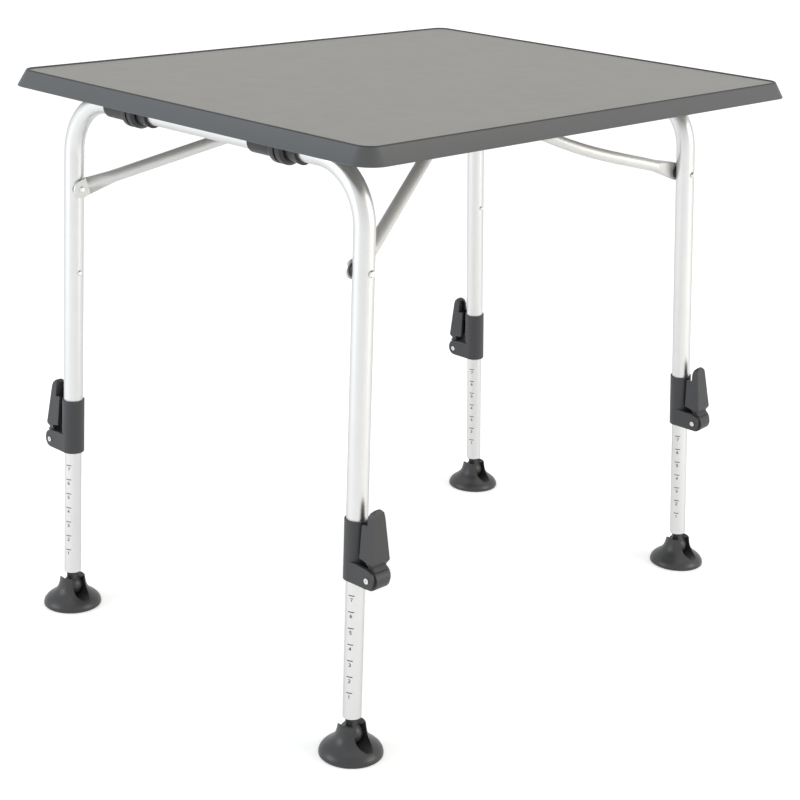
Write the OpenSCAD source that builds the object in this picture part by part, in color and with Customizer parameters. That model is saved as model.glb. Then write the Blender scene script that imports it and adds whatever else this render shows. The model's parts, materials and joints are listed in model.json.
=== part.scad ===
// Folding camping table with two fold-away leg frames, telescopic legs,
// lever clamps and ball-jointed feet. Millimetres, +X long side, +Z up,
// origin on the floor under the middle of the whole table.

/* [Table top] */
// Length of the top edge of the board's frame
top_length = 780; // [600:5:1200]
// Width of the top edge of the board's frame
top_width = 618; // [450:1:800]
// Height of the top above the floor
table_height = 724; // [640:1:760]
// Height of the dark edge
edge_height = 19.5; // [18:0.5:40]
// How far the edge slopes outwards on its way down
edge_flare = 9.8; // [0:0.2:12]
// Corner radius of the edge seen from above
corner_radius = 19; // [12:1:40]
// Width of the edge's lip beside the board
lip_width = 3.4; // [2:0.2:8]
// Thickness of the board
board_thickness = 15.4; // [10:0.2:20]

/* [Leg frames] */
// Outer tube diameter
tube_diameter = 25; // [22:0.5:30]
// Outer tube wall
tube_wall = 1.2; // [1:0.1:2]
// Distance from the top's end to each frame's turning axis
hinge_inset = 48; // [40:1:90]
// Depth of the turning axis below the table top
hinge_depth = 31.5; // [28:0.5:40]
// Distance from the top's side to the wide frame's legs at the turning axis
inset_wide = 49.5; // [30:0.5:80]
// Distance from the top's side to the narrow frame's legs at the turning axis
inset_narrow = 117.5; // [100:0.5:150]
// Centre-line radius of the tube bends
bend_radius = 72; // [50:1:90]
// Outward lean of the wide frame in degrees
lean_wide = 0.1; // [0:0.1:4]
// Outward lean of the narrow frame in degrees
lean_narrow = 4.4; // [0:0.1:5]
// Sideways splay of every leg in degrees
splay = 0.75; // [0:0.05:3]

/* [Inner legs] */
// Inner tube diameter
inner_diameter = 22; // [19:0.5:24]
// Inner tube wall
inner_wall = 1.2; // [1:0.1:2]
// Height of the inner tube's lower end above the floor
inner_end_height = 46.5; // [44:0.5:60]
// Height of the bush top above the floor
bush_top_height = 308; // [280:1:310]
// Length of the guide bush
bush_length = 44; // [20:1:60]

/* [Clamps] */
// Sleeve diameter
sleeve_diameter = 29; // [28:0.5:34]
// Height of the sleeve's lower end above the floor
sleeve_low = 218; // [210:1:230]
// Height of the sleeve's upper end above the floor
sleeve_high = 290; // [270:1:310]
// Height of the lever pin above the floor
pin_height = 228; // [222:0.5:236]
// Distance of the lever pin from the leg axis
pin_offset = 31.5; // [28:0.5:36]
// Lever pin diameter
pin_diameter = 4; // [3:0.5:6]

/* [Feet] */
// Diameter of the foot's disc
foot_diameter = 76; // [60:0.2:90]
// Ball radius
ball_radius = 12.8; // [9:0.1:14]
// Height of the ball's middle above the floor
ball_height = 25.5; // [20:0.5:30]

/* [Braces] */
// Brace tube diameter
brace_diameter = 16; // [12:0.5:20]
// Depth of the wide frame's brace rivets below the table top
brace_depth_wide = 149; // [120:1:180]
// Depth of the narrow frame's brace rivets below the table top
brace_depth_narrow = 139; // [120:1:180]
// Depth of the cross bars' axis below the table top
bar_depth = 40.8; // [38:0.2:60]
// Convergence of the wide brace's arms in degrees
brace_in_wide = 25.7; // [10:0.1:30]
// Convergence of the narrow brace's arms in degrees
brace_in_narrow = 16; // [5:0.5:25]
// Length from the rivet to the cross bar's axis, wide brace
brace_length_wide = 324; // [300:1:330]
// Length from the rivet to the cross bar's axis, narrow brace
brace_length_narrow = 311; // [300:1:330]
// Height of the stop rivets above the floor
stop_height = 464; // [461:1:500]

/* [Hidden] */
$fn = 64;
hz = table_height - hinge_depth;
hinge_offset = top_length / 2 - hinge_inset;
half_wide = top_width / 2 - inset_wide;
half_narrow = top_width / 2 - inset_narrow;
bar_height = table_height - bar_depth;
function brace_pin(wide) = table_height - (wide ? brace_depth_wide : brace_depth_narrow);
function brace_length(wide) = wide ? brace_length_wide : brace_length_narrow;
function brace_rise(wide) = asin((bar_height - brace_pin(wide)) / brace_length(wide));
rt = tube_diameter / 2;
ri = inner_diameter / 2;
cosw = cos(lean_wide) * cos(splay);
cosn = cos(lean_narrow) * cos(splay);
// the lowest ball's distance from the table's middle decides the box
foot_w = hinge_offset + (hz - ball_height) * tan(lean_wide) + foot_diameter / 2;
foot_n = hinge_offset + (hz - ball_height) * tan(lean_narrow) + foot_diameter / 2;
edge_x = top_length / 2 + edge_flare;
shift = -(max(edge_x, foot_n) - max(edge_x, foot_w)) / 2;
board_top = table_height - 0.4;
board_low = board_top - board_thickness;
board_len = top_length - 2 * lip_width - 0.6;
board_wid = top_width - 2 * lip_width - 0.6;
bt = 0.05;
gap = 0.3;
// the bends are this much thinner, which leaves a clean line at each joint
seam = 0.06;

ALU = [0.80, 0.80, 0.80];
DARK = [0.23, 0.23, 0.24];
BLACK = [0.11, 0.11, 0.11];
STEEL = [0.70, 0.70, 0.68];
BOARD = [0.61, 0.61, 0.59];
EDGE = [0.38, 0.39, 0.41];

// Frame of a leg frame: origin on the turning axis, -Z down the legs.
// wide = the frame at -X, else the one at +X.
module at_frame(wide) {
  translate([shift + (wide ? -hinge_offset : hinge_offset), 0, hz])
    rotate([0, wide ? lean_wide : -lean_narrow, 0]) children();
}

function half_of(wide) = wide ? half_wide : half_narrow;
// Distance down the leg at which the height above the floor is h.
function down(wide, h) = (hz - h) / (wide ? cosw : cosn);
// Leg number to frame and side: 1 and 2 wide, 3 and 4 narrow.
function is_wide(i) = i < 3;
function side_of(i) = (i == 1 || i == 3) ? -1 : 1;

// Frame of one leg: +Y outwards, origin on the leg axis at the turning axis.
module at_side(wide, s) {
  translate([0, s * half_of(wide), 0]) rotate([s * splay, 0, 0])
    rotate([0, 0, s > 0 ? 0 : 180]) children();
}
module at_leg(i) { at_frame(is_wide(i)) at_side(is_wide(i), side_of(i)) children(); }
// Same, moved down to height h.
module at_height(i, h) { at_leg(i) translate([0, 0, -down(is_wide(i), h)]) children(); }

// The table top: a board in a moulded edge.
module plate(l, w, r, h) {
  linear_extrude(h) {
    square([l - 2 * r, w], center = true);
    square([l, w - 2 * r], center = true);
    for (x = [-1, 1], y = [-1, 1]) translate([x * (l / 2 - r), y * (w / 2 - r)]) circle(r);
  }
}

module table_panel() {
  color(BOARD) translate([shift, 0, board_low])
    difference() {
      plate(board_len, board_wid, corner_radius - lip_width - 0.3, board_thickness);
      // pilot holes of the bracket and catch screws
      for (p = screw_spots()) translate([p[0], p[1], -1]) cylinder(d = 3, h = 11, $fn = 24);
    }
}

// Edge profile, x outwards from the corner circle's middle line.
module edge_profile() {
  h = edge_height;
  c = corner_radius;
  polygon([
    [c - lip_width, 0], [c - 0.9, 0], [c - 0.25, -0.3], [c, -1.0],
    [c + edge_flare, -h + 0.8], [c + edge_flare - 0.5, -h], [c + edge_flare - 2.4, -h],
    [c - 1.0, -board_thickness - 3.4], [c - 15, -board_thickness - 3.4],
    [c - 15, -board_thickness - 0.4], [c - lip_width - 0.3, -board_thickness - 0.4],
    [c - lip_width - 0.3, -1.2], [c - lip_width, -0.9]]);
}

module edge_frame() {
  l = top_length - 2 * corner_radius;
  w = top_width - 2 * corner_radius;
  color(EDGE) translate([shift, 0, table_height]) {
    for (a = [0, 180]) rotate([0, 0, a]) {
      translate([l / 2, w / 2, 0]) rotate([90, 0, 0]) linear_extrude(w) edge_profile();
      rotate([0, 0, 90]) translate([w / 2, l / 2, 0]) rotate([90, 0, 0]) linear_extrude(l) edge_profile();
    }
    for (q = [[1, 1, 0], [-1, 1, 90], [-1, -1, 180], [1, -1, 270]])
      translate([q[0] * l / 2, q[1] * w / 2, 0]) rotate([0, 0, q[2]])
        rotate_extrude(angle = 90, $fn = 96) edge_profile();
  }
}

// Parts screwed under the board.
// bracket i: start of the collar along Y, direction of the bulge, frame
function bracket_y(i) = i == 1 ? -83 : i == 2 ? 181 : i == 3 ? 4 : -123;
function bracket_dir(i) = i < 3 ? -1 : 1;
function bracket_x(i) = shift + (i < 3 ? -hinge_offset : hinge_offset);
function catch_x(wide) = shift + (wide ? -1 : 1) * (hinge_offset
  + (hz - brace_pin(wide)) * tan(wide ? lean_wide : lean_narrow) - brace_length(wide) * cos(brace_rise(wide)));
catch_z = bar_height;
function screw_spots() = concat(
  [for (i = [1:4], u = [12, 70], s = [-1, 1])
    [bracket_x(i) - shift + s * 23, bracket_y(i) + bracket_dir(i) * u]],
  [for (k = [0, 1], y = [-30, 30]) [catch_x(k == 0) - shift + (k == 0 ? -17 : 17), y]]);

module bracket_shape() {
  // local: tube axis along +Y from 0 to 81, z = 0 on the axis
  h = board_low - hz;
  difference() {
    union() {
      // screw flange
      translate([-31, 3, h - 3.2]) cube([62, 76, 3.2]);
      // webs up to the board
      translate([-15, 0, 0]) cube([30, 34, h]);
      translate([-19.5, 38, 0]) cube([39, 25, h]);
      translate([-13.5, 60, 0]) cube([27, 20, h]);
      rotate([-90, 0, 0]) cylinder(r = 15, h = 34);
      translate([0, 30, 0]) rotate([-90, 0, 0]) cylinder(r = 14.4, h = 40);
      translate([0, 38, 0]) rotate([-90, 0, 0]) cylinder(r1 = 18, r2 = 20, h = 4);
      translate([0, 42, 0]) rotate([-90, 0, 0]) cylinder(r = 20, h = 7);
      translate([0, 49, 0]) rotate([-90, 0, 0]) cylinder(r = 18.6, h = 3);
      translate([0, 52, 0]) rotate([-90, 0, 0]) cylinder(r = 20, h = 7);
      translate([0, 59, 0]) rotate([-90, 0, 0]) cylinder(r1 = 20, r2 = 17, h = 4);
      translate([0, 63, 0]) rotate([-90, 0, 0]) cylinder(r1 = 14.4, r2 = 16.2, h = 18);
    }
    translate([0, -5, 0]) rotate([-90, 0, 0]) cylinder(r = rt + bt, h = 100, $fn = 96);
    translate([-40, -5, h]) cube([80, 100, 20]);
    for (u = [12, 70], s = [-1, 1]) translate([s * 23, u, h - 10]) cylinder(d = 4.2, h = 20, $fn = 24);
  }
}
module pivot_bracket(i) {
  color(BLACK) translate([bracket_x(i), bracket_y(i), hz])
    rotate([0, 0, bracket_dir(i) > 0 ? 0 : 180]) bracket_shape();
}

// Catch: a plate on the board with two hooks that open towards the table's middle.
catch_gap = 1.2;
module catch_shape() {
  // local: bar axis at the origin along Y, mouth towards +X and down
  h = board_low - catch_z;
  r = brace_diameter / 2 + catch_gap;
  difference() {
    union() {
      translate([-r - 15.8, -40, h - 3]) cube([38, 80, 3]);
      for (y = [-9, 9]) translate([0, y + 5, 0]) rotate([90, 0, 0]) linear_extrude(10)
        polygon([[-r - 2.8, h - 1], [-r - 2.8, -3.9], [-r + 4.0, -r - 2.9], [-3.6, -r - 2.9], [-3.6, -r - 0.1],
                 [-r + 4.7, -r - 0.1], [-r, -3.5], [-r, r], [8.5, r], [8.5, h - 1]]);
    }
    for (y = [-30, 30]) translate([-17, y, h - 10]) cylinder(d = 4.2, h = 20, $fn = 24);
  }
}
module brace_catch(wide) {
  color(BLACK) translate([catch_x(wide), 0, catch_z])
    rotate([0, 0, wide ? 0 : 180]) catch_shape();
}

module mount_screws() {
  color(STEEL) for (p = screw_spots()) translate([shift + p[0], p[1], board_low]) {
    translate([0, 0, -0.2]) cylinder(d = 2.9, h = 9.5, $fn = 24);
    translate([0, 0, -3.4]) cylinder(d = 3.9, h = 3.4, $fn = 24);
    translate([0, 0, -5.6]) cylinder(d = 7.5, h = 2.2, $fn = 32);
  }
}

// The two leg frames.
turn = 90 - splay;
tangent = bend_radius * tan(turn / 2);
// Round bar along a frame's centre line; the tube is an outer less an inner one.
module leg_side(wide, r, low) {
  half = half_of(wide);
  translate([0, half - tangent, -bend_radius]) rotate([0, -90, 0])
    rotate_extrude(angle = turn, $fn = 144) translate([bend_radius, 0]) circle(r - seam);
  translate([0, half, 0]) rotate([splay, 0, 0]) translate([0, 0, -low]) cylinder(r = r, h = low - tangent);
}
module leg_path(wide, r, extra) {
  half = half_of(wide);
  low = down(wide, sleeve_low + 28.3) + extra;
  translate([0, -(half - tangent), 0]) rotate([-90, 0, 0]) cylinder(r = r, h = 2 * (half - tangent));
  leg_side(wide, r, low);
  mirror([0, 1, 0]) leg_side(wide, r, low);
}

// Frame of a rivet across a leg at height h: +Y outwards, level.
module at_pin(wide, s, h) {
  d = down(wide, h);
  translate([0, s * (half_of(wide) + d * sin(splay)), -d * cos(splay)])
    rotate([0, 0, s > 0 ? 0 : 180]) children();
}

module leg_frame(wide) {
  color(ALU) at_frame(wide) difference() {
    union() leg_path(wide, rt, 0);
    union() leg_path(wide, rt - tube_wall, 5);
    for (s = [-1, 1]) {
      at_pin(wide, s, brace_pin(wide)) rotate([90, 0, 0]) cylinder(d = 5, h = 60, center = true, $fn = 32);
      at_pin(wide, s, stop_height) rotate([90, 0, 0]) cylinder(d = 4, h = 30, $fn = 32);
    }
  }
}

// Black washers between brace ends and legs, saddle shaped towards the tube.
module brace_spacers(wide) {
  color(BLACK) at_frame(wide) for (s = [-1, 1]) at_pin(wide, s, brace_pin(wide)) difference() {
    translate([0, -7, 0]) rotate([90, 0, 0]) cylinder(d = 18, h = 6.8);
    rotate([splay, 0, 0]) translate([0, 0, -20]) cylinder(r = rt + 0.02, h = 40, $fn = 72);
    rotate([90, 0, 0]) cylinder(d = 5, h = 40, $fn = 32);
  }
}

module brace_rivets(wide) {
  color(STEEL) at_frame(wide) for (s = [-1, 1])
    at_pin(wide, s, brace_pin(wide)) rotate([90, 0, 0]) {
      translate([0, 0, -13.6]) cylinder(d = 4.9, h = 13.6 + 18.0, $fn = 32);
      translate([0, 0, -14.6]) cylinder(d1 = 6.4, d2 = 8.8, h = 1.9, $fn = 32);
      translate([0, 0, 17.1]) cylinder(d1 = 7.4, d2 = 5.6, h = 1.6, $fn = 32);
    }
}

module stop_rivets(wide) {
  color(STEEL) at_frame(wide) for (s = [-1, 1])
    at_pin(wide, s, stop_height) rotate([90, 0, 0]) {
      translate([0, 0, 7]) cylinder(d = 3.9, h = 6.5, $fn = 32);
      translate([0, 0, 12.7]) cylinder(d1 = 7, d2 = 4.5, h = 1.6, $fn = 32);
    }
}

// The two braces.
brace_r = brace_diameter / 2;
function arm_in(wide) = wide ? brace_in_wide : brace_in_narrow;
// Local frame: origin on the rivets' line in the table's middle plane,
// +X along the rising arms towards the cross bar, +Y across.
function brace_half(wide) = half_of(wide) + down(wide, brace_pin(wide)) * sin(splay);
function brace_y(wide) = brace_half(wide) - 15.5;
flat_length = 16.6;
function brace_bend(wide) = wide ? 60 : 80;
function brace_corner(wide) = brace_y(wide) - (brace_length(wide) - flat_length) * tan(arm_in(wide));
function brace_tangent(wide) = brace_bend(wide) * tan((90 - arm_in(wide)) / 2);
// Round bar along one arm from distance s0 after the flattened part.
module brace_side(wide, r, s0) {
  b = arm_in(wide);
  rb = brace_bend(wide);
  seg = (brace_length(wide) - flat_length) / cos(b) - brace_tangent(wide);
  translate([flat_length, brace_y(wide), 0]) rotate([0, 0, -b]) {
    translate([s0, 0, 0]) rotate([0, 90, 0]) cylinder(r = r, h = seg - s0);
    translate([seg, -rb, 0]) rotate([0, 0, b]) rotate_extrude(angle = 90 - b, $fn = 144)
      translate([rb, 0]) circle(r - seam);
  }
}
module brace_path(wide, r, s0) {
  c = brace_corner(wide) - brace_tangent(wide);
  translate([brace_length(wide), -c, 0]) rotate([-90, 0, 0]) cylinder(r = r, h = 2 * c);
  brace_side(wide, r, s0);
  mirror([0, 1, 0]) brace_side(wide, r, s0);
}
// Flattened end on the rivet, opening out from flat to round.
module brace_end(wide) {
  translate([0, brace_y(wide), 0]) {
    rotate([90, 0, 0]) cylinder(d = 23, h = 3, center = true);
    translate([0, -1.5, -11.5]) cube([10.5, 3, 23]);
  }
  hull() {
    translate([10, brace_y(wide) - 1.5, -11.5]) cube([0.4, 3, 23]);
    translate([flat_length, brace_y(wide), 0]) rotate([0, 0, -arm_in(wide)]) translate([27, 0, 0])
      rotate([0, 90, 0]) cylinder(r = brace_r - 0.05, h = 3, $fn = 32);
  }
}
module brace_shape(wide) {
  rotate([0, -brace_rise(wide), 0]) difference() {
    union() {
      brace_path(wide, brace_r, 28);
      brace_end(wide);
      mirror([0, 1, 0]) brace_end(wide);
    }
    union() brace_path(wide, brace_r - 1.2, 34);
    rotate([90, 0, 0]) cylinder(d = 5, h = 700, center = true, $fn = 32);
  }
}
module brace(wide) {
  sx = wide ? -1 : 1;
  px = shift + sx * (hinge_offset + (hz - brace_pin(wide)) * tan(wide ? lean_wide : lean_narrow));
  color(ALU) translate([px, 0, brace_pin(wide)]) rotate([0, 0, wide ? 0 : 180]) brace_shape(wide);
}

// Clamps, built at height pin_height with +Y outwards.
zl = sleeve_low - pin_height;
zh = sleeve_high - pin_height;
shoe_w = 12;

module clamp_body_shape() {
  difference() {
    union() {
      translate([0, 0, zl]) cylinder(d = sleeve_diameter, h = zh - zl, $fn = 72);
      for (x = [-14.4, 10.6]) translate([x, 0, 0]) {
        rotate([90, 0, 90]) linear_extrude(3.8)
          polygon([[0, 14.4], [14.5, 14.4], [pin_offset + 0.5, 12.6], [pin_offset + 4.4, 11.2],
                   [pin_offset + 7.4, 8.4], [pin_offset + 9.2, 4.4], [pin_offset + 9.6, 0],
                   [pin_offset + 8.6, -4.2], [pin_offset + 6, -7.8], [pin_offset + 2.2, -9.9],
                   [pin_offset - 2, -10.4], [14.5, zl], [0, zl]]);
      }
    }
    translate([0, 0, zl - 1]) cylinder(r = ri + bt, h = 100, $fn = 72);
    translate([0, 0, zl + 28]) cylinder(r = rt + 0.02, h = 100, $fn = 72);
    // window of the brake shoe
    translate([-shoe_w / 2 - 0.05, 8, -7]) cube([shoe_w + 0.1, 12, 14]);
    translate([-20, pin_offset, 0]) rotate([0, 90, 0]) cylinder(d = pin_diameter + 0.04, h = 40, $fn = 32);
  }
}
module clamp_body(i) { color(DARK) at_height(i, pin_height) clamp_body_shape(); }

module brake_shoe(i) {
  color(BLACK) at_height(i, pin_height) difference() {
    translate([-shoe_w / 2, 8, -6.8]) cube([shoe_w, 9.2, 13.6]);
    translate([0, 0, -20]) cylinder(r = ri + gap, h = 40, $fn = 72);
  }
}

module lever_pin(i) {
  color(STEEL) at_height(i, pin_height) translate([0, pin_offset, 0]) rotate([0, 90, 0]) {
    cylinder(d = pin_diameter, h = 28.8, center = true, $fn = 32);
    difference() {
      for (x = [14.4, -15.6]) translate([0, 0, x]) cylinder(d = 6.6, h = 1.2, $fn = 32);
      for (x = [14.6, -16.6]) translate([0, 0, x]) cylinder(d = 3, h = 2, $fn = 24);
    }
  }
}

// Side outline of the lever: y outwards, z up from the pin.
module lever_outline() {
  polygon([[17.2, 22.6], [17.2, 61], [25.6, 61], [25.8, 72], [27.6, 77.5], [30.4, 80.6], [33.0, 80.4],
           [34.6, 77.6], [35.2, 73], [40.6, 22.6], [40.2, 20.8], [37.6, 17.2], [37.2, 15.2], [40.6, 11.4],
           [30, 8], [28, 20.4]]);
}
module clamp_lever_shape() {
  difference() {
    union() {
      intersection() {
        translate([-13, 0, 0]) rotate([90, 0, 90]) linear_extrude(26) lever_outline();
        // taper towards the tip, seen from outside
        rotate([90, 0, 0]) translate([0, 0, -60]) linear_extrude(60)
          polygon([[-10.3, 0], [-10.3, 15], [-12.8, 20], [-12.4, 24], [-8.8, 72], [-7.6, 77], [-4.5, 80.2], [0, 81.2],
                   [4.5, 80.2], [7.6, 77], [8.8, 72], [12.4, 24], [12.8, 20], [10.3, 15], [10.3, 0]]);
      }
      // cam between the ears
      translate([-10.2, 0, 0]) rotate([90, 0, 90]) linear_extrude(20.4)
        union() {
          translate([pin_offset, 0]) circle(r = 12.6, $fn = 64);
          translate([pin_offset - 2.6, -0.6]) circle(r = 11, $fn = 64);
        }
    }
    // channel open towards the leg
    intersection() {
      translate([-8, 0, 0]) rotate([90, 0, 90]) linear_extrude(16)
        polygon([[0, 16], [28, 16], [34.8, 21], [31.4, 70], [29.6, 75.6], [26.4, 79], [22, 82], [0, 90]]);
      rotate([90, 0, 0]) translate([0, 0, -60]) linear_extrude(60)
        polygon([[-8, 0], [-8, 22], [-6.4, 71], [-3.4, 77.4], [0, 78.6], [3.4, 77.4], [6.4, 71], [8, 22], [8, 0]]);
    }
    translate([-20, pin_offset, 0]) rotate([0, 90, 0]) cylinder(r = pin_diameter / 2 + bt, h = 40, $fn = 32);
  }
}
module clamp_lever(i) { color(DARK) at_height(i, pin_height) clamp_lever_shape(); }

// Inner legs and feet.
module inner_leg(i) {
  d0 = down(is_wide(i), inner_end_height);
  d1 = down(is_wide(i), bush_top_height - bush_length);
  color(ALU) at_leg(i) translate([0, 0, -d0]) linear_extrude(d0 - d1)
    difference() { circle(ri, $fn = 72); circle(ri - inner_wall, $fn = 72); }
}

// Long head in the outer tube, spigot in the inner one.
module glide_bush(i) {
  d1 = down(is_wide(i), bush_top_height - bush_length);
  color(BLACK) at_leg(i) translate([0, 0, -d1]) difference() {
    union() {
      cylinder(r = rt - tube_wall - bt, h = bush_length, $fn = 72);
      translate([0, 0, -20]) cylinder(r = ri - inner_wall - 0.02, h = 21, $fn = 72);
    }
    translate([0, 0, -21]) cylinder(r = 7.5, h = bush_length + 40, $fn = 48);
  }
}

module ball_stem(i) {
  w = is_wide(i);
  dd = (inner_end_height - ball_height) / (w ? cosw : cosn);
  color(BLACK) at_height(i, ball_height) {
    sphere(r = ball_radius, $fn = 64);
    cylinder(r = 7.6, h = dd - 1.5, $fn = 48);
    translate([0, 0, dd - 3]) cylinder(r1 = 7.6, r2 = ri - 0.4, h = 2.7, $fn = 48);
    translate([0, 0, dd - 1]) cylinder(r = ri - inner_wall - bt, h = 26, $fn = 72);
  }
}

module foot_profile() {
  rf = foot_diameter / 2;
  polygon([[0, 0], [rf - 0.6, 0], [rf, 0.6], [rf, 2.6], [rf - 0.7, 5.2], [rf - 2.8, 8.4], [31.8, 11.6], [27.2, 14.8],
           [23.4, 18], [20.6, 21.4], [18.8, 25.2], [17.6, 29.5], [16.8, 34], [16.3, 38], [15.4, 38.6],
           [13.2, 38.4], [0, 38]]);
}
// The foot stands level, whatever the leg's tilt.
module foot_place(i) {
  w = is_wide(i);
  s = side_of(i);
  d = down(w, ball_height);
  lean = w ? lean_wide : -lean_narrow;
  translate([shift + (w ? -hinge_offset : hinge_offset) - d * cos(splay) * sin(lean),
             s * (half_of(w) + d * sin(splay)), 0]) children();
}
module foot(i) {
  color(BLACK) foot_place(i) difference() {
    rotate_extrude($fn = 96) foot_profile();
    translate([0, 0, ball_height]) sphere(r = ball_radius + gap, $fn = 64);
    translate([0, 0, 33]) cylinder(r1 = 10.5, r2 = 14.6, h = 6, $fn = 64);
    // open side, through which the ball is seen
    translate([0, 0, 21]) rotate([90, 0, 0]) cylinder(r = 10.2, h = 50);
    translate([-10.2, -50, 21]) cube([20.4, 50, 30]);
    // notch opposite
    translate([0, 50, 27]) rotate([90, 0, 0]) linear_extrude(50) polygon([[0, 0], [16, 14], [-16, 14]]);
  }
}

table_panel();
edge_frame();
pivot_bracket(1);  // pivot_bracket_1
pivot_bracket(2);  // pivot_bracket_2
pivot_bracket(3);  // pivot_bracket_3
pivot_bracket(4);  // pivot_bracket_4
brace_catch(true);  // brace_catch_a
brace_catch(false);  // brace_catch_b
mount_screws();
leg_frame(true);  // leg_frame_a
leg_frame(false);  // leg_frame_b
brace_spacers(true);  // brace_spacers_a
brace_spacers(false);  // brace_spacers_b
brace_rivets(true);  // brace_rivets_a
brace_rivets(false);  // brace_rivets_b
stop_rivets(true);  // stop_rivets_a
stop_rivets(false);  // stop_rivets_b
brace(true);  // brace_a
brace(false);  // brace_b
clamp_body(1);  // clamp_body_1
clamp_body(2);  // clamp_body_2
clamp_body(3);  // clamp_body_3
clamp_body(4);  // clamp_body_4
brake_shoe(1);  // brake_shoe_1
brake_shoe(2);  // brake_shoe_2
brake_shoe(3);  // brake_shoe_3
brake_shoe(4);  // brake_shoe_4
lever_pin(1);  // lever_pin_1
lever_pin(2);  // lever_pin_2
lever_pin(3);  // lever_pin_3
lever_pin(4);  // lever_pin_4
clamp_lever(1);  // clamp_lever_1
clamp_lever(2);  // clamp_lever_2
clamp_lever(3);  // clamp_lever_3
clamp_lever(4);  // clamp_lever_4
inner_leg(1);  // inner_leg_1
inner_leg(2);  // inner_leg_2
inner_leg(3);  // inner_leg_3
inner_leg(4);  // inner_leg_4
glide_bush(1);  // glide_bush_1
glide_bush(2);  // glide_bush_2
glide_bush(3);  // glide_bush_3
glide_bush(4);  // glide_bush_4
ball_stem(1);  // ball_stem_1
ball_stem(2);  // ball_stem_2
ball_stem(3);  // ball_stem_3
ball_stem(4);  // ball_stem_4
foot(1);  // foot_1
foot(2);  // foot_2
foot(3);  // foot_3
foot(4);  // foot_4
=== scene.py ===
"""Dresses the folding camping table.

Finishes, rounded mouldings, the bead of the edge (its dark colour partly painted shade), the curve
of brace b, the printed leg scales, light and camera.
"""

from __future__ import annotations

import json
import logging
import math
from dataclasses import dataclass, field
from enum import Enum

import bmesh
import bpy
import numpy as np
from mathutils import Matrix, Vector

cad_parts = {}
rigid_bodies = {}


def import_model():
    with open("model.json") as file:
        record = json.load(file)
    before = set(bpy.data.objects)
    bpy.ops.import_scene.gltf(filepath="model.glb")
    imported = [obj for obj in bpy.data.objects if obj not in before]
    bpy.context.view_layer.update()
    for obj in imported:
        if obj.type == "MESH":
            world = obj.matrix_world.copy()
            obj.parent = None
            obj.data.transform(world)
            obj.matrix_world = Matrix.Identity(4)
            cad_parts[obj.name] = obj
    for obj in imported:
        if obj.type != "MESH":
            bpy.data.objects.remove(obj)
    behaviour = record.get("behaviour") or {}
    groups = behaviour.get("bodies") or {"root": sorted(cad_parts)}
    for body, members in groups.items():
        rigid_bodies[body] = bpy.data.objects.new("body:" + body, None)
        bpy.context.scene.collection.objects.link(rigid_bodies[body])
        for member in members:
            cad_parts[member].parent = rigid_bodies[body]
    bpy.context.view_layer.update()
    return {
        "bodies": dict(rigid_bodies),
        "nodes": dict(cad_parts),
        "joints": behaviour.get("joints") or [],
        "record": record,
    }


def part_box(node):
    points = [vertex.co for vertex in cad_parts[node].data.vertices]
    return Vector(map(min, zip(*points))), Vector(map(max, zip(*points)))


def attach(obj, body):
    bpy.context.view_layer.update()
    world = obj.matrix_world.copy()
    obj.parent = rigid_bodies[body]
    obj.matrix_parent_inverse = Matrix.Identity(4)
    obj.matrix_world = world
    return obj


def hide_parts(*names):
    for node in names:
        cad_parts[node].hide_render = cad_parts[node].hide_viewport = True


log = logging.getLogger("camping_table")

MM = 0.001
LEGS = (1, 2, 3, 4)
NOISE_MEAN = 0.5


class Pattern(Enum):
    """Surface patterns that a finish can carry."""

    PLAIN = "plain"
    MOULDED = "moulded"
    LAMINATE = "laminate"
    DRAWN_TUBE = "drawn tube"


@dataclass(frozen=True)
class Finish:
    """One finish: its colour and how it takes the light.

    Args:
        name: Material name.
        colour: Linear base colour.
        roughness: Mean roughness.
        metallic: 1 for bare metal, less where a dull skin lies on it, 0 for plastic.
        pattern: What varies over the surface.
        strength: How strong the pattern is.
        edge_tint: How light a metal stays where it turns away from the eye.
    """

    name: str
    colour: tuple[float, float, float]
    roughness: float
    metallic: float = 0.0
    pattern: Pattern = Pattern.PLAIN
    strength: float = 1.0
    edge_tint: float = 1.0


def socket_float(group: bpy.types.NodeTree, name: str, value: float, way: str = "INPUT") -> None:
    """Adds one float socket to a node group.

    Args:
        group: The node group.
        name: Socket name.
        value: Default value.
        way: INPUT or OUTPUT.
    """
    sock = group.interface.new_socket(name=name, in_out=way, socket_type="NodeSocketFloat")
    if way == "INPUT":
        sock.default_value = value


def calc(
    nt: bpy.types.NodeTree,
    operation: str,
    first: bpy.types.NodeSocket,
    second: bpy.types.NodeSocket | float,
) -> bpy.types.NodeSocket:
    """Adds one arithmetic node.

    Args:
        nt: Node tree.
        operation: ADD, SUBTRACT, MULTIPLY or MAXIMUM.
        first: First value.
        second: Second value, a socket or a number.

    Returns:
        The socket with the result.
    """
    node = nt.nodes.new("ShaderNodeMath")
    node.operation = operation
    nt.links.new(first, node.inputs[0])
    if isinstance(second, (int, float)):
        node.inputs[1].default_value = second
    else:
        nt.links.new(second, node.inputs[1])
    return node.outputs[0]


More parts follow.
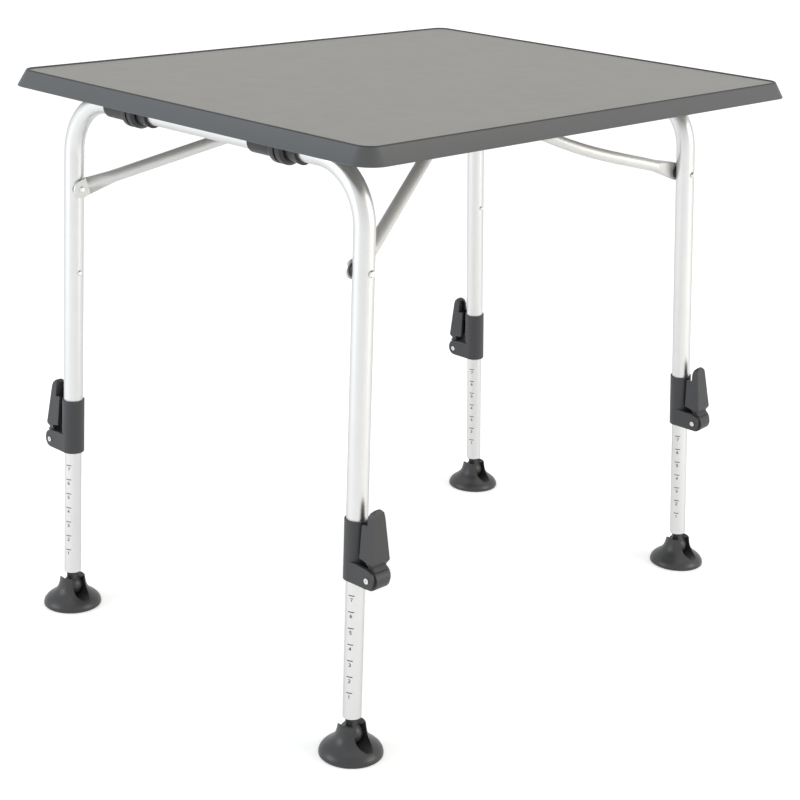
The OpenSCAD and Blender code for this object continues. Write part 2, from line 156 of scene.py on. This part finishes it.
def cloud_group() -> bpy.types.NodeTree:
    """Builds the group for slow and fine unevenness, used by every moulded finish and the drawn
    tubes.

    Two noise textures on Object coordinates are mixed: a slow one for blotches and a fine one
    for the skin. Value is centred on 0, Height feeds a bump.

    Returns:
        The node group.
    """
    g = bpy.data.node_groups.new("uneven_skin", "ShaderNodeTree")
    socket_float(g, "Slow Size", 18.0)
    socket_float(g, "Fine Size", 900.0)
    socket_float(g, "Amount", 1.0)
    socket_float(g, "Value", 0.0, "OUTPUT")
    socket_float(g, "Height", 0.0, "OUTPUT")
    n, lk = g.nodes, g.links
    gi, go = n.new("NodeGroupInput"), n.new("NodeGroupOutput")
    tc = n.new("ShaderNodeTexCoord")
    slow, fine = n.new("ShaderNodeTexNoise"), n.new("ShaderNodeTexNoise")
    slow.inputs["Detail"].default_value = 3.0
    fine.inputs["Detail"].default_value = 2.0
    lk.new(tc.outputs["Object"], slow.inputs["Vector"])
    lk.new(tc.outputs["Object"], fine.inputs["Vector"])
    lk.new(gi.outputs["Slow Size"], slow.inputs["Scale"])
    lk.new(gi.outputs["Fine Size"], fine.inputs["Scale"])
    centred = calc(g, "SUBTRACT", slow.outputs["Fac"], NOISE_MEAN)
    lk.new(calc(g, "MULTIPLY", centred, gi.outputs["Amount"]), go.inputs["Value"])
    lk.new(fine.outputs["Fac"], go.inputs["Height"])
    return g


def laminate_group() -> bpy.types.NodeTree:
    """Builds the board's printed grain: fine streaks along the long side, clouds and specks.

    Streaks are noise on Object coordinates stretched along X. Streaks, clouds and specks are
    added to one value centred on 0; the specks take the streaks' strength.

    Returns:
        The node group.
    """
    g = bpy.data.node_groups.new("laminate_grain", "ShaderNodeTree")
    socket_float(g, "Streak", 1.0)
    socket_float(g, "Cloud", 1.0)
    socket_float(g, "Value", 0.0, "OUTPUT")
    n, lk = g.nodes, g.links
    gi, go = n.new("NodeGroupInput"), n.new("NodeGroupOutput")
    tc, mp = n.new("ShaderNodeTexCoord"), n.new("ShaderNodeMapping")
    mp.inputs["Scale"].default_value = (28.0, 420.0, 60.0)
    streak, cloud, speck = (n.new("ShaderNodeTexNoise") for _ in range(3))
    streak.inputs["Scale"].default_value = 1.0
    streak.inputs["Detail"].default_value = 4.0
    cloud.inputs["Scale"].default_value = 30.0
    cloud.inputs["Detail"].default_value = 5.0
    speck.inputs["Scale"].default_value = 520.0
    speck.inputs["Detail"].default_value = 2.0
    lk.new(tc.outputs["Object"], mp.inputs["Vector"])
    lk.new(mp.outputs["Vector"], streak.inputs["Vector"])
    lk.new(tc.outputs["Object"], cloud.inputs["Vector"])
    lk.new(tc.outputs["Object"], speck.inputs["Vector"])
    total = None
    for tex, key in ((streak, "Streak"), (cloud, "Cloud"), (speck, "Streak")):
        centred = calc(g, "SUBTRACT", tex.outputs["Fac"], NOISE_MEAN)
        share = calc(g, "MULTIPLY", centred, gi.outputs[key])
        total = share if total is None else calc(g, "ADD", total, share)
    lk.new(total, go.inputs["Value"])
    return g


@dataclass
class Finishes:
    """All materials of the table, made once from their finishes."""

    board: Finish = Finish(
        "board_laminate", (0.232, 0.226, 0.212), 0.55, pattern=Pattern.LAMINATE, strength=0.17
    )
    edge: Finish = Finish(
        "edge_moulding", (0.082, 0.086, 0.089), 0.46, pattern=Pattern.MOULDED, strength=0.10
    )
    # Raised rim bead: its near-black colour, darker than the moulding, is partly painted shade of
    # the rim's inner wall.
    bead_and_painted_shade: Finish = Finish(
        "edge_bead_painted_shade", (0.020, 0.021, 0.022), 0.45, pattern=Pattern.MOULDED, strength=0.10
    )
    grey: Finish = Finish(
        "clamp_plastic", (0.043, 0.043, 0.046), 0.50, pattern=Pattern.MOULDED, strength=0.12
    )
    black: Finish = Finish(
        "black_plastic", (0.012, 0.012, 0.013), 0.45, pattern=Pattern.MOULDED, strength=0.10
    )
    foot: Finish = Finish(
        "foot_plastic", (0.037, 0.037, 0.039), 0.38, pattern=Pattern.MOULDED, strength=0.12
    )
    tube: Finish = Finish(
        "satin_tube", (0.68, 0.68, 0.675), 0.36, 1.0, Pattern.DRAWN_TUBE, 0.05, edge_tint=0.72
    )
    brace: Finish = Finish(
        "satin_brace", (0.70, 0.70, 0.69), 0.50, 0.6, Pattern.DRAWN_TUBE, 0.06, edge_tint=0.8
    )
    steel: Finish = Finish("plated_rivet", (0.72, 0.72, 0.70), 0.28, 1.0)
    print_ink: Finish = Finish("scale_ink", (0.02, 0.02, 0.02), 0.6)
    cloud_share: float = 0.8
    tube_slow: float = 40.0
    tube_fine: float = 1500.0
    bump_moulded: float = 0.12
    bump_drawn: float = 0.02
    bump_depth: float = 0.2 * MM
    made: dict[str, bpy.types.Material] = field(default_factory=dict)
    groups: dict[str, bpy.types.NodeTree] = field(default_factory=dict)

    def group(self, name: str) -> bpy.types.NodeTree:
        """Returns the named node group, building it the first time.

        Args:
            name: skin or grain.

        Returns:
            The node group.
        """
        if name not in self.groups:
            self.groups[name] = cloud_group() if name == "skin" else laminate_group()
        return self.groups[name]

    def material(self, f: Finish) -> bpy.types.Material:
        """Returns the material of a finish, building it the first time.

        Args:
            f: The finish.

        Returns:
            Its material.
        """
        if f.name in self.made:
            return self.made[f.name]
        m = bpy.data.materials.new(f.name)
        m.use_nodes = True
        nt = m.node_tree
        bsdf = nt.nodes["Principled BSDF"]
        bsdf.inputs["Base Color"].default_value = (*f.colour, 1.0)
        bsdf.inputs["Roughness"].default_value = f.roughness
        bsdf.inputs["Metallic"].default_value = f.metallic
        bsdf.inputs["Specular Tint"].default_value = (f.edge_tint, f.edge_tint, f.edge_tint, 1.0)
        if f.pattern is Pattern.LAMINATE:
            grain = nt.nodes.new("ShaderNodeGroup")
            grain.node_tree = self.group("grain")
            grain.inputs["Streak"].default_value = f.strength
            grain.inputs["Cloud"].default_value = f.strength * self.cloud_share
            self._shade(nt, bsdf, grain.outputs["Value"], f)
        elif f.pattern is not Pattern.PLAIN:
            skin = nt.nodes.new("ShaderNodeGroup")
            skin.node_tree = self.group("skin")
            skin.inputs["Amount"].default_value = f.strength
            if f.pattern is Pattern.DRAWN_TUBE:
                skin.inputs["Slow Size"].default_value = self.tube_slow
                skin.inputs["Fine Size"].default_value = self.tube_fine
            self._shade(nt, bsdf, skin.outputs["Value"], f)
            bump = nt.nodes.new("ShaderNodeBump")
            moulded = f.pattern is Pattern.MOULDED
            strength = self.bump_moulded if moulded else self.bump_drawn
            bump.inputs["Strength"].default_value = strength
            bump.inputs["Distance"].default_value = self.bump_depth
            nt.links.new(skin.outputs["Height"], bump.inputs["Height"])
            nt.links.new(bump.outputs["Normal"], bsdf.inputs["Normal"])
        self.made[f.name] = m
        return m

    @staticmethod
    def _shade(
        nt: bpy.types.NodeTree, bsdf: bpy.types.Node, value: bpy.types.NodeSocket, f: Finish
    ) -> None:
        """Lets a centred value lighten and darken the base colour.

        The colour is the finish's colour times one plus the value.

        Args:
            nt: The material's node tree.
            bsdf: Its shader.
            value: The centred value.
            f: The finish.
        """
        mul = nt.nodes.new("ShaderNodeVectorMath")
        mul.operation = "SCALE"
        mul.inputs[0].default_value = f.colour
        nt.links.new(calc(nt, "ADD", value, 1.0), mul.inputs["Scale"])
        nt.links.new(mul.outputs["Vector"], bsdf.inputs["Base Color"])


@dataclass
class Workshop:
    """The loaded frame and the finishes, with the steps that every sub-assembly uses."""

    frame: dict
    finishes: Finishes = field(default_factory=Finishes)
    weld: float = 0.002 * MM
    flat: float = 0.6
    most_corners: int = 24
    bevel_steps: int = 2

    def body_of(self, node: str) -> str:
        """Returns the name of the body that carries a CAD node."""
        bodies = self.frame["record"]["behaviour"]["bodies"]
        return next(b for b, nodes in bodies.items() if node in nodes)

    def paint(self, node: str, f: Finish) -> None:
        """Gives a CAD node a finish in all its material slots.

        Args:
            node: CAD node.
            f: The finish.
        """
        obj = self.frame["nodes"][node]
        for s in obj.material_slots:
            s.material = self.finishes.material(f)

    def rounded(
        self, node: str, f: Finish, width: float = 0.0, sharp: float = 32.0
    ) -> bpy.types.Object:
        """Replaces a CAD node by a merged copy with smooth faces and rounded edges.

        The copy's vertices are welded, faces that meet at less than the sharp angle are shaded as
        one surface, and the other edges are bevelled.

        Args:
            node: CAD node.
            f: The finish.
            width: Bevel width in metres, 0 for none.
            sharp: Angle in degrees above which an edge stays.

        Returns:
            The new piece.
        """
        src = self.frame["nodes"][node]
        mesh = bpy.data.meshes.new(node + "_form")
        bm = bmesh.new()
        bm.from_mesh(src.data)
        bmesh.ops.remove_doubles(bm, verts=bm.verts, dist=self.weld)
        bmesh.ops.dissolve_limit(
            bm, angle_limit=math.radians(self.flat), verts=bm.verts, edges=bm.edges
        )
        many = [p for p in bm.faces if len(p.verts) > self.most_corners]
        bmesh.ops.triangulate(bm, faces=many)
        for face in bm.faces:
            face.smooth = True
        limit = math.radians(sharp)
        for e in bm.edges:
            e.smooth = len(e.link_faces) == 2 and e.calc_face_angle(0.0) < limit
        bm.to_mesh(mesh)
        bm.free()
        mesh.materials.clear()
        mesh.materials.append(self.finishes.material(f))
        obj = bpy.data.objects.new(node + "_form", mesh)
        bpy.context.scene.collection.objects.link(obj)
        if width > 0:
            bev = obj.modifiers.new("rounded_edges", "BEVEL")
            bev.width = width
            bev.segments = self.bevel_steps
            bev.limit_method = "ANGLE"
            bev.angle_limit = limit
            bev.harden_normals = True
        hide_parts(node)
        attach(obj, self.body_of(node))
        log.info("%s rounded by %.1f mm", node, width / MM)
        return obj

    def surface(
        self, name: str, verts: np.ndarray, faces: list, f: Finish, body: str, slot: str
    ) -> bpy.types.Object:
        """Makes a new piece from computed vertices.

        Args:
            name: Object name.
            verts: N by 3 array in metres.
            faces: Lists of vertex numbers.
            f: The finish.
            body: CAD body that carries it.
            slot: The record's material slot; not used.

        Returns:
            The new piece.
        """
        mesh = bpy.data.meshes.new(name)
        mesh.from_pydata(verts.tolist(), [], faces)
        mesh.materials.append(self.finishes.material(f))
        mesh.update()
        obj = bpy.data.objects.new(name, mesh)
        bpy.context.scene.collection.objects.link(obj)
        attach(obj, body)
        return obj


@dataclass
class TableTop:
    """The board, its edge moulding and the fittings screwed under it."""

    shop: Workshop
    edge_round: float = 0.6 * MM
    bracket_round: float = 0.8 * MM
    bead_width: float = 3.0 * MM
    bead_height: float = 1.5 * MM
    bead_sink: float = 0.1 * MM
    lip_width: float = 3.4 * MM
    corner_radius: float = 19.0 * MM
    board_round: float = 0.3 * MM
    screw_round: float = 0.2 * MM
    edge_sharp: float = 20.0
    corner_points: int = 13
    section_points: int = 7

    def bead_and_painted_shade(self) -> None:
        """Lays the bead on the edge's lip, all round the board, its dark colour partly painted
        shade.

        The middle line is the board's outline, a rounded rectangle: each corner point lies at the
        corner's centre plus its radius times (cos a, sin a). The cross section is half an ellipse,
        sunk a little into the lip.
        """
        low, high = self.panel_box()
        inset = self.bead_width / 2
        radius = self.corner_radius - self.lip_width + inset
        centre = (low + high) / 2
        half = (high - low) / 2
        line = []
        for quarter in range(4):
            a = np.radians(90 * quarter + np.linspace(0, 90, self.corner_points))
            sx = 1 if quarter in (0, 3) else -1
            sy = 1 if quarter in (0, 1) else -1
            mid = centre[:2] + np.array([sx, sy]) * (half[:2] + inset - radius)
            ca, sa = np.cos(a), np.sin(a)
            line.append(np.stack([mid[0] + radius * ca, mid[1] + radius * sa, ca, sa], 1))
        line = np.concatenate(line)
        t = np.linspace(0, np.pi, self.section_points)
        across, up = -np.cos(t) * self.bead_width / 2, np.sin(t) * self.bead_height
        verts = np.stack(
            [
                line[:, None, 0] + line[:, None, 2] * across,
                line[:, None, 1] + line[:, None, 3] * across,
                np.broadcast_to(self.rim_height() + up - self.bead_sink, (len(line), len(t))),
            ],
            2,
        ).reshape(-1, 3)
        n, k = len(line), len(t)
        faces = [
            (i * k + j, i * k + j + 1, ((i + 1) % n) * k + j + 1, ((i + 1) % n) * k + j)
            for i in range(n)
            for j in range(k - 1)
        ]
        # The bead's dark finish is partly painted shade of the rim's inner wall.
        bead_and_painted_shade = self.shop.finishes.bead_and_painted_shade
        obj = self.shop.surface("edge_bead_painted_shade", verts, faces, bead_and_painted_shade, "top", "edge")
        for face in obj.data.polygons:
            face.use_smooth = True

    def panel_box(self) -> tuple[np.ndarray, np.ndarray]:
        """Returns the board's lowest and highest corner."""
        low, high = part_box("table_panel")
        return np.array(low), np.array(high)

    def rim_height(self) -> float:
        """Returns the height of the edge's top."""
        return float(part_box("edge_frame")[1][2])

    def build(self) -> None:
        """Dresses the board and the edge, and rounds the fittings' edges."""
        fin = self.shop.finishes
        self.shop.rounded("table_panel", fin.board, self.board_round)
        self.shop.rounded("edge_frame", fin.edge, self.edge_round, self.edge_sharp)
        for i in LEGS:
            self.shop.rounded(f"pivot_bracket_{i}", fin.black, self.bracket_round)
        for side in "ab":
            self.shop.rounded(f"brace_catch_{side}", fin.black, self.bracket_round)
        self.shop.rounded("mount_screws", fin.steel, self.screw_round)
        self.bead_and_painted_shade()
        log.info("table top done")


@dataclass
class LegFrames:
    """The bent outer tubes, the braces and the rivets between them."""

    shop: Workshop
    washer_round: float = 0.5 * MM
    rivet_round: float = 0.4 * MM
    stop_round: float = 0.3 * MM
    droop: float = 10.0 * MM
    reach: float = 322.0 * MM
    cut: float = 8.0 * MM
    cut_snap: float = 0.001 * MM

    def curved(self, obj: bpy.types.Object) -> None:
        """Gives the narrow frame's brace arms their hanging curve.

        The arms are cut into short lengths. A point at distance u from the rivet sinks by
        droop * sin(pi * u / reach) squared, so rivets and cross bar stay in place.

        Args:
            obj: The brace.
        """
        fold = next(j for j in self.shop.frame["joints"] if j["name"] == "brace_b_fold")
        pin = fold["pos_m"][0]
        bm = bmesh.new()
        bm.from_mesh(obj.data)
        for u in np.arange(self.cut, self.reach, self.cut):
            geom = list(bm.verts) + list(bm.edges) + list(bm.faces)
            bmesh.ops.bisect_plane(
                bm, geom=geom, dist=self.cut_snap, plane_co=(pin - u, 0, 0), plane_no=(1, 0, 0)
            )
        for v in bm.verts:
            u = pin - v.co.x
            if 0.0 < u < self.reach:
                v.co.z -= self.droop * math.sin(math.pi * u / self.reach) ** 2
        bm.to_mesh(obj.data)
        bm.free()

    def build(self) -> None:
        """Shades the tubes smooth, bends brace b and rounds washers and rivets."""
        fin = self.shop.finishes
        for side in "ab":
            self.shop.rounded(f"leg_frame_{side}", fin.tube)
            brace = self.shop.rounded(f"brace_{side}", fin.brace)
            if side == "b":
                self.curved(brace)
            self.shop.rounded(f"brace_spacers_{side}", fin.black, self.washer_round)
            self.shop.rounded(f"brace_rivets_{side}", fin.steel, self.rivet_round)
            self.shop.rounded(f"stop_rivets_{side}", fin.steel, self.stop_round)
        log.info("leg frames done")


@dataclass
class Clamps:
    """The four lever clamps."""

    shop: Workshop
    sleeve_round: float = 0.9 * MM
    lever_round: float = 1.3 * MM
    pin_round: float = 0.4 * MM

    def build(self) -> None:
        """Rounds the mouldings and their rivets."""
        fin = self.shop.finishes
        for i in LEGS:
            self.shop.rounded(f"clamp_body_{i}", fin.grey, self.sleeve_round)
            self.shop.rounded(f"clamp_lever_{i}", fin.grey, self.lever_round)
            self.shop.rounded(f"lever_pin_{i}", fin.steel, self.pin_round)
            self.shop.paint(f"brake_shoe_{i}", fin.black)
        log.info("clamps done")


@dataclass
class Feet:
    """The inner legs with their bushes, ball stems and bell-shaped feet."""

    shop: Workshop
    bell_round: float = 0.7 * MM
    tube_round: float = 0.2 * MM

    def build(self) -> None:
        """Shades tubes and balls and rounds the bells' cut edges."""
        fin = self.shop.finishes
        for i in LEGS:
            self.shop.rounded(f"inner_leg_{i}", fin.tube, self.tube_round)
            self.shop.paint(f"glide_bush_{i}", fin.black)
            self.shop.rounded(f"ball_stem_{i}", fin.foot)
            self.shop.rounded(f"foot_{i}", fin.foot, self.bell_round)
        log.info("feet done")


# Strokes of the scale's numerals in a box one wide and one and a half high.
STROKES = {
    1: [[(0.25, 1.2), (0.6, 1.5), (0.6, 0.0)]],
    2: [[(0.05, 1.2), (0.3, 1.5), (0.7, 1.5), (0.95, 1.15), (0.85, 0.8), (0.05, 0.0), (1.0, 0.0)]],
    3: [
        [(0.05, 1.3), (0.4, 1.5), (0.9, 1.25), (0.8, 0.9), (0.4, 0.8)]
        + [(0.85, 0.65), (0.95, 0.25), (0.45, 0.0), (0.0, 0.2)]
    ],
    4: [[(0.75, 0.0), (0.75, 1.5), (0.0, 0.45), (1.0, 0.45)]],
    5: [
        [(0.95, 1.5), (0.2, 1.5), (0.1, 0.85), (0.6, 0.95), (0.98, 0.6)]
        + [(0.85, 0.1), (0.4, 0.0), (0.0, 0.2)]
    ],
    6: [
        [(0.85, 1.4), (0.45, 1.5), (0.08, 0.9), (0.08, 0.3), (0.5, 0.0)]
        + [(0.95, 0.3), (0.85, 0.8), (0.4, 0.9), (0.1, 0.6)]
    ],
    7: [[(0.0, 1.5), (1.0, 1.5), (0.4, 0.0)]],
}


@dataclass
class LegScale:
    """The printed height scale of the inner legs: ticks with the numerals 7 to 1 below them."""

    shop: Workshop
    radius: float = 11.03 * MM
    facing: float = 202.0
    first: float = 200.0 * MM
    pitch: float = 20.0 * MM
    tick_width: float = 7.4 * MM
    tick_line: float = 1.15 * MM
    digit_width: float = 2.6 * MM
    digit_line: float = 0.82 * MM
    digit_drop: float = 7.2 * MM
    step: float = 0.9 * MM
    mitre_floor: float = 0.35

    def stroke(self, line: list[tuple[float, float]], width: float) -> tuple[np.ndarray, list]:
        """Turns a flat line into a strip of constant width.

        At each point the strip's two edges lie half a width to either side along the mean normal
        of the segments that meet there.

        Args:
            line: Points of the line in metres, across and up.
            width: Strip width.

        Returns:
            Points across and up, and quads.
        """
        p = np.array(line, float)
        d = np.diff(p, axis=0)
        d /= np.linalg.norm(d, axis=1)[:, None]
        nrm = np.stack([-d[:, 1], d[:, 0]], 1)
        mid = nrm[:-1] + nrm[1:]
        mid /= np.maximum((np.linalg.norm(mid, axis=1) ** 2 / 2)[:, None], self.mitre_floor)
        at = np.concatenate([nrm[:1], mid, nrm[-1:]])
        pts = np.concatenate([p + at * width / 2, p - at * width / 2])
        n = len(p)
        return pts, [(k, n + k, n + k + 1, k + 1) for k in range(n - 1)]

    def finely(self, line: list[tuple[float, float]]) -> list[tuple[float, float]]:
        """Splits the line's segments so that the strip can bend round the tube.

        Args:
            line: Points of the line.

        Returns:
            The line with added points.
        """
        out = [line[0]]
        for a, b in zip(line[:-1], line[1:]):
            k = max(1, int(math.dist(a, b) / self.step))
            out += [
                (a[0] + (b[0] - a[0]) * t / k, a[1] + (b[1] - a[1]) * t / k)
                for t in range(1, k + 1)
            ]
        return out

    def build(self) -> None:
        """Prints the scale on each inner leg.

        A flat print point (across, up) is laid on the tube: the distance across is an arc length
        round the leg's axis, and up runs along it.
        """
        joints = {j["name"]: j for j in self.shop.frame["joints"]}
        pts, faces = self.print_lines()
        ink = self.shop.finishes.print_ink
        for i in LEGS:
            axis = Vector(joints[f"leg_{i}_slide"]["axis"]).normalized()
            base = Vector(joints[f"stem_{i}_spin"]["pos_m"])
            a0 = math.radians(self.facing)
            out = Vector((math.cos(a0), math.sin(a0), 0.0))
            out = (out - axis * out.dot(axis)).normalized()
            side = axis.cross(out)
            ang = pts[:, 0] / self.radius
            along = (pts[:, 1] - base.z) / axis.z
            verts = (
                np.array(base)
                + np.outer(along, np.array(axis))
                + self.radius * np.outer(np.cos(ang), np.array(out))
                + self.radius * np.outer(np.sin(ang), np.array(side))
            )
            self.shop.surface(f"leg_scale_{i}", verts, faces, ink, f"inner_{i}", "black_plastic")
        log.info("leg scales done")

    def print_lines(self) -> tuple[np.ndarray, list]:
        """Lays out ticks and numerals flat.

        Returns:
            Points (across, height) and faces.
        """
        pts, faces, n = [], [], 0
        for k, number in enumerate(sorted(STROKES, reverse=True)):
            z = self.first - k * self.pitch
            lines = [([(-self.tick_width / 2, z), (self.tick_width / 2, z)], self.tick_line)]
            w, foot = self.digit_width, z - self.digit_drop
            for s in STROKES[number]:
                lines.append(([((x - 0.5) * w, foot + y * w) for x, y in s], self.digit_line))
            for line, width in lines:
                p, f = self.stroke(self.finely(line), width)
                pts.append(p)
                faces += [tuple(v + n for v in q) for q in f]
                n += len(p)
        return np.concatenate(pts), faces


@dataclass
class View:
    """The camera, placed as the photograph was taken."""

    position: tuple[float, float, float] = (-1.72221, -1.60524, 1.09011)
    azimuth: float = -47.035
    elevation: float = 14.262
    roll: float = 2.376
    focal_px: float = 1827.68
    middle_px: tuple[float, float] = (414.255, 248.429)
    frame_px: float = 800.0
    sensor: float = 36.0
    far: float = 50.0

    def build(self) -> None:
        """Makes the camera.

        The view direction comes from azimuth and elevation, the roll turns right and up about it,
        and the offset of the optical middle becomes the lens shift.
        """
        az, el, ro = (math.radians(v) for v in (self.azimuth, self.elevation, self.roll))
        fwd = Vector((-math.sin(az) * math.cos(el), math.cos(az) * math.cos(el), -math.sin(el)))
        right = Vector((math.cos(az), math.sin(az), 0.0))
        up = right.cross(fwd)
        right2 = right * math.cos(ro) + up * math.sin(ro)
        up2 = up * math.cos(ro) - right * math.sin(ro)
        data = bpy.data.cameras.new("photo_view")
        data.sensor_width = self.sensor
        data.lens = self.focal_px / self.frame_px * self.sensor
        data.shift_x = (self.frame_px / 2 - self.middle_px[0]) / self.frame_px
        data.shift_y = (self.middle_px[1] - self.frame_px / 2) / self.frame_px
        data.clip_end = self.far
        cam = bpy.data.objects.new("photo_view", data)
        turned = Matrix((right2, up2, -fwd)).transposed().to_4x4()
        cam.matrix_world = Matrix.Translation(self.position) @ turned
        bpy.context.scene.collection.objects.link(cam)
        bpy.context.scene.camera = cam


@dataclass(frozen=True)
class Lamp:
    """One soft box.

    Args:
        name: Lamp name.
        at: Its place in metres.
        size: Side length.
        power: Watts.
        colour: Colour of its light.
    """

    name: str
    at: tuple[float, float, float]
    size: float
    power: float
    colour: tuple[float, float, float] = (1.0, 1.0, 1.0)


@dataclass
class Studio:
    """White floor, white surroundings and three soft boxes: left, right and above."""

    floor_size: float = 60.0
    floor_depth: float = 0.5 * MM
    floor_colour: float = 0.95
    floor_roughness: float = 0.9
    floor_specular: float = 0.1
    floor_lift: float = 0.37
    far_lift: float = 0.22
    fade_from: float = 1.5
    fade_to: float = 6.0
    aim: tuple[float, float, float] = (0.0, 0.0, 0.4)
    world_strength: float = 0.57
    lamps: tuple[Lamp, ...] = (
        Lamp("cool_left", (-2.9, 1.5, 1.3), 1.6, 33.0, (0.84, 0.93, 1.0)),
        Lamp("warm_right", (1.5, -3.0, 1.4), 1.6, 40.0, (1.0, 0.95, 0.85)),
        Lamp("top", (0.2, 0.2, 3.2), 2.6, 26.0),
    )

    def hang(self, lamp: Lamp) -> None:
        """Hangs one square soft box that looks at the table's middle.

        Args:
            lamp: The soft box.
        """
        data = bpy.data.lights.new(lamp.name, "AREA")
        data.shape = "SQUARE"
        data.size = lamp.size
        data.energy = lamp.power
        data.color = lamp.colour
        obj = bpy.data.objects.new(lamp.name, data)
        obj.location = lamp.at
        obj.rotation_mode = "QUATERNION"
        obj.rotation_quaternion = (Vector(self.aim) - Vector(lamp.at)).to_track_quat("-Z", "Y")
        bpy.context.scene.collection.objects.link(obj)

    @staticmethod
    def seen_directly(nt: bpy.types.NodeTree) -> bpy.types.NodeSocket:
        """Adds nodes that are 1 for what the eye, a mirror or a glass shows, else 0.

        The value is the largest of Is Camera Ray, Is Glossy Ray and Is Transmission Ray.

        Args:
            nt: Node tree of the floor or the world.

        Returns:
            The socket with the value.
        """
        path = nt.nodes.new("ShaderNodeLightPath")
        either = calc(nt, "MAXIMUM", path.outputs["Is Camera Ray"], path.outputs["Is Glossy Ray"])
        return calc(nt, "MAXIMUM", either, path.outputs["Is Transmission Ray"])

    def floor_material(self) -> bpy.types.Material:
        """Makes the floor's paint.

        A white diffuse floor keeps the table's shadow. Where it is seen, a little of its own light
        is added. It grows between fade_from and fade_to, in metres from the middle, where the
        lamps no longer reach, so that the floor ends in white.

        Returns:
            The material.
        """
        m = bpy.data.materials.new("white_floor")
        m.use_nodes = True
        nt = m.node_tree
        b = nt.nodes["Principled BSDF"]
        b.inputs["Base Color"].default_value = (*(self.floor_colour,) * 3, 1.0)
        b.inputs["Roughness"].default_value = self.floor_roughness
        b.inputs["Specular IOR Level"].default_value = self.floor_specular
        place = nt.nodes.new("ShaderNodeTexCoord")
        length = nt.nodes.new("ShaderNodeVectorMath")
        length.operation = "LENGTH"
        nt.links.new(place.outputs["Object"], length.inputs[0])
        fade = nt.nodes.new("ShaderNodeMapRange")
        fade.interpolation_type = "SMOOTHSTEP"
        for key, value in (
            ("From Min", self.fade_from),
            ("From Max", self.fade_to),
            ("To Min", self.floor_lift),
            ("To Max", self.floor_lift + self.far_lift),
        ):
            fade.inputs[key].default_value = value
        nt.links.new(length.outputs["Value"], fade.inputs["Value"])
        own = calc(nt, "MULTIPLY", fade.outputs["Result"], self.seen_directly(nt))
        b.inputs["Emission Color"].default_value = (1, 1, 1, 1)
        nt.links.new(own, b.inputs["Emission Strength"])
        return m

    def build(self) -> None:
        """Sets the floor, the world and the lamps."""
        s, z = self.floor_size / 2, -self.floor_depth
        mesh = bpy.data.meshes.new("floor")
        mesh.from_pydata([(-s, -s, z), (s, -s, z), (s, s, z), (-s, s, z)], [], [(0, 1, 2, 3)])
        mesh.materials.append(self.floor_material())
        floor = bpy.data.objects.new("floor", mesh)
        bpy.context.scene.collection.objects.link(floor)
        self.world()
        for lamp in self.lamps:
            self.hang(lamp)
        bpy.context.scene.view_settings.view_transform = "Standard"
        log.info("studio done")

    def world(self) -> None:
        """Sets white where the world is seen directly or mirrored, an even light for the rest."""
        world = bpy.data.worlds.new("studio")
        bpy.context.scene.world = world
        world.use_nodes = True
        nt = world.node_tree
        nt.nodes.clear()
        out = nt.nodes.new("ShaderNodeOutputWorld")
        light = nt.nodes.new("ShaderNodeBackground")
        seen = nt.nodes.new("ShaderNodeBackground")
        light.inputs["Color"].default_value = (1, 1, 1, 1)
        light.inputs["Strength"].default_value = self.world_strength
        seen.inputs["Color"].default_value = (1, 1, 1, 1)
        seen.inputs["Strength"].default_value = 1.0
        mix = nt.nodes.new("ShaderNodeMixShader")
        nt.links.new(self.seen_directly(nt), mix.inputs[0])
        nt.links.new(light.outputs[0], mix.inputs[1])
        nt.links.new(seen.outputs[0], mix.inputs[2])
        nt.links.new(mix.outputs[0], out.inputs["Surface"])


def main() -> None:
    """Loads the frame, dresses every sub-assembly and sets the scene."""
    logging.basicConfig(level=logging.INFO, format="%(name)s: %(message)s")
    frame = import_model()
    shop = Workshop(frame)
    for part in (TableTop, LegFrames, Clamps, Feet, LegScale):
        part(shop).build()
    View().build()
    Studio().build()


if __name__ == "__main__":
    main()
